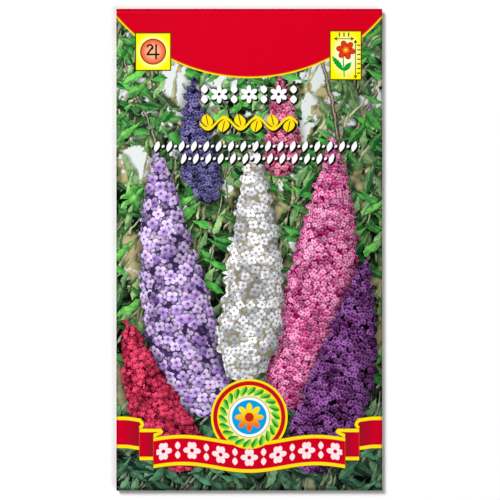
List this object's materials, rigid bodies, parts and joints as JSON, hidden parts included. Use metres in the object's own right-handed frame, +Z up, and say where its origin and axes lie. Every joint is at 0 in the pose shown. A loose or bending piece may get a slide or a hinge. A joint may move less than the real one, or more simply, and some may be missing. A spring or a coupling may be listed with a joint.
{
  "type": "paper seed packet",
  "caption": "Flat sealed paper envelope for flower seeds, with a glossy printed front, lapped back seam, folded end flaps and a small sachet inside.",
  "frame": {"origin": "on the ground under the centre of the packet, which lies on its back", "axes": "+Z up out of the printed front, +Y towards the top edge of the front, +X to the right of the front"},
  "size_m": [0.08, 0.145, 0.0039],
  "materials": {
    "paper": "satin",
    "foliage_print": "gloss",
    "red_print": "gloss",
    "yellow_print": "gloss",
    "leaf_print": "gloss",
    "dark_red_print": "gloss",
    "white_print": "gloss",
    "orange_print": "gloss",
    "blue_print": "gloss",
    "green_print": "gloss",
    "sachet": "satin",
    "coral_print": "gloss",
    "lilac_print": "gloss",
    "pink_print": "gloss",
    "purple_print": "gloss",
    "rose_print": "gloss",
    "violet_print": "gloss"
  },
  "bodies": {
    "root": {"back_panel_inner": "paper", "back_panel_outer": "paper", "bottom_flap": "paper", "foliage_1": "foliage_print", "foliage_2": "foliage_print", "foliage_3": "foliage_print", "foliage_4": "foliage_print", "foliage_5": "foliage_print", "foliage_6": "foliage_print", "front_panel": "paper", "header": "red_print", "header_line_1": "yellow_print", "header_line_2": "yellow_print", "header_line_3": "yellow_print", "leaf_1": "leaf_print", "leaf_2": "leaf_print", "leaf_3": "leaf_print", "leaf_4": "leaf_print", "ribbon_band": "red_print", "ribbon_band_trim_1": "yellow_print", "ribbon_band_trim_2": "yellow_print", "ribbon_band_trim_3": "yellow_print", "ribbon_fold_left": "dark_red_print", "ribbon_fold_right": "dark_red_print", "ribbon_fold_trim_left_1": "yellow_print", "ribbon_fold_trim_left_2": "yellow_print", "ribbon_fold_trim_right_1": "yellow_print", "ribbon_fold_trim_right_2": "yellow_print", "ribbon_tail_left": "red_print", "ribbon_tail_right": "red_print", "ribbon_tail_trim_left_1": "yellow_print", "ribbon_tail_trim_left_2": "yellow_print", "ribbon_tail_trim_right_1": "yellow_print", "ribbon_tail_trim_right_2": "yellow_print", "seal_band": "white_print", "seal_bloom": "orange_print", "seal_disc": "blue_print", "seal_field": "green_print", "seal_rim": "yellow_print", "seal_ring": "red_print", "seed_sachet": "sachet", "size_plate": "yellow_print", "size_plate_bloom": "red_print", "spike_coral_1": "coral_print", "spike_coral_2": "coral_print", "spike_lilac": "lilac_print", "spike_pink": "pink_print", "spike_purple_1": "purple_print", "spike_purple_2": "purple_print", "spike_rose": "rose_print", "spike_violet": "violet_print", "spike_white": "white_print", "sun_disc": "orange_print", "sun_plate": "yellow_print", "top_flap": "paper"}
  },
  "joints": []
}
